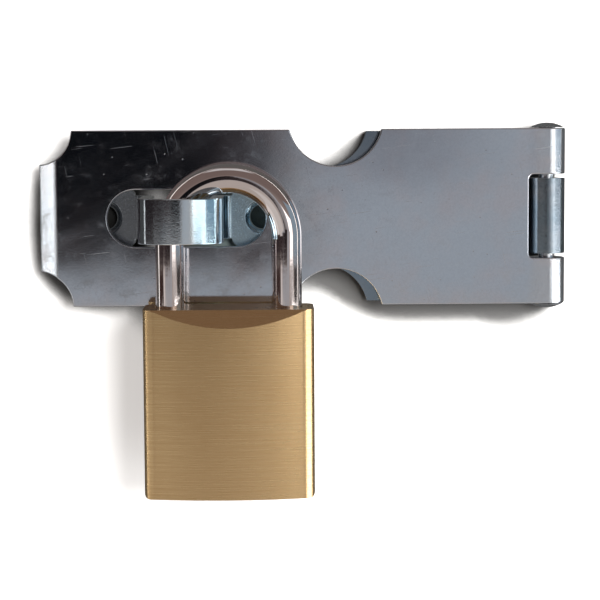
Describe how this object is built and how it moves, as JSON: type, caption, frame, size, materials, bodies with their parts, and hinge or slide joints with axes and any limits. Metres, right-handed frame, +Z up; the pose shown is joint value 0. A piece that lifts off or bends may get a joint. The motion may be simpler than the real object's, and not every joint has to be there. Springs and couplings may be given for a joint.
{
  "type": "hinged hasp and staple with padlock",
  "caption": "Small zinc-plated hinged hasp with a scalloped strap and loop staple, closed by a brass padlock whose shackle hangs in the staple.",
  "frame": {"origin": "centre of the base leaf's screw pattern, on its back face against the door", "axes": "+X along the strap towards its hinge, +Z up, the front faces -Y away from the door"},
  "size_m": [0.0638, 0.0147, 0.0437],
  "materials": {
    "zinc_sheet": "bright zinc plating on pressed sheet, faintly blue, with fine handling marks",
    "rivet_steel": "bright zinc plating, riveted ends",
    "zinc_strip": "bright zinc plating on bent strip, slightly grainy",
    "body_brass": "satin brass, brushed across",
    "plated_rod": "polished nickel-chrome plating on steel rod",
    "plug_brass": "turned brass",
    "lock_steel": "turned steel",
    "spring_wire": "drawn steel wire"
  },
  "bodies": {
    "base": {"base_leaf": "zinc_sheet", "hinge_pin": "rivet_steel"},
    "strap": {"strap": "zinc_sheet", "staple": "zinc_strip"},
    "padlock": {"padlock_body": "body_brass", "latch_channel_cap": "body_brass", "latch_spring": "spring_wire", "shackle_spring": "spring_wire", "shackle_retainer_pin": "body_brass", "plug_retainer_pin": "body_brass", "driver_pin_1": "lock_steel", "driver_pin_2": "lock_steel", "driver_pin_3": "lock_steel", "driver_pin_4": "lock_steel", "driver_spring_1": "spring_wire", "driver_spring_2": "spring_wire", "driver_spring_3": "spring_wire", "driver_spring_4": "spring_wire", "chamber_cap_1": "body_brass", "chamber_cap_2": "body_brass", "chamber_cap_3": "body_brass", "chamber_cap_4": "body_brass"},
    "shackle": {"shackle": "plated_rod"},
    "plug": {"lock_plug": "plug_brass", "key_pin_1": "plug_brass", "key_pin_2": "plug_brass", "key_pin_3": "plug_brass", "key_pin_4": "plug_brass"},
    "latch": {"latch_bolt": "lock_steel"}
  },
  "joints": [
    {"name": "strap_hinge", "type": "hinge", "parent": "base", "child": "strap", "pos_m": [0.0135, -0.0022, 0], "axis": [0, 0, 1], "range_deg": [0, 180]},
    {"name": "padlock_swing", "type": "hinge", "parent": "strap", "child": "padlock", "pos_m": [-0.02513, -0.0097, 0.00435], "axis": [1, 0, 0], "range_deg": [-5, 3]},
    {"name": "shackle_lift", "type": "slide", "parent": "padlock", "child": "shackle", "axis": [0, 0, 1], "range_m": [0, 0.0055], "deforming": ["shackle_spring"]},
    {"name": "plug_turn", "type": "hinge", "parent": "padlock", "child": "plug", "pos_m": [-0.02513, -0.0097, -0.02], "axis": [0, 0, 1], "range_deg": [-90, 0]},
    {"name": "latch_slide", "type": "slide", "parent": "padlock", "child": "latch", "axis": [1, 0, 0], "range_m": [-0.0011, 0], "deforming": ["latch_spring"]}
  ],
  "couplings": [
    {"joint": "plug_turn", "follows": "latch_slide", "rad_per_m": 1427.9}
  ]
}
